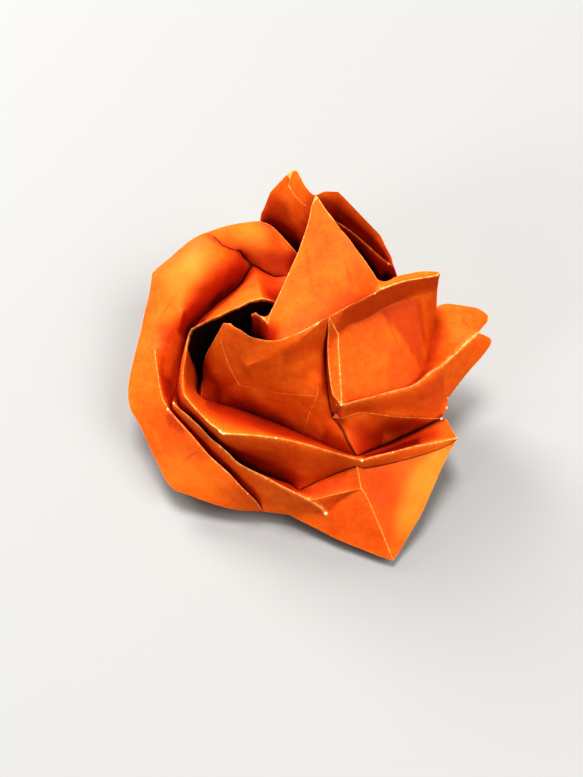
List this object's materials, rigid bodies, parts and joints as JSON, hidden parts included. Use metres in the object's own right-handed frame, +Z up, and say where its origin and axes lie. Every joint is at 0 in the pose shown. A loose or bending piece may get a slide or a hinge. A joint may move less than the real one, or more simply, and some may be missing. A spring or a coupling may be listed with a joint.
{
  "type": "origami rose",
  "caption": "Rose folded from one square sheet of orange paper, with a twisted bud, curled and pointed petals and a flat base to rest on.",
  "frame": {"origin": "on the flat base, near its middle", "axes": "+Z up out of the flower, +Y towards the tall back petals, +X to the right seen from the front"},
  "size_m": [0.0604, 0.0591, 0.0304],
  "materials": {
    "orange_paper": "matt paper, orange on both sides, worn white at the fold corners"
  },
  "bodies": {
    "root": {"folded_sheet": "orange_paper"}
  },
  "joints": []
}
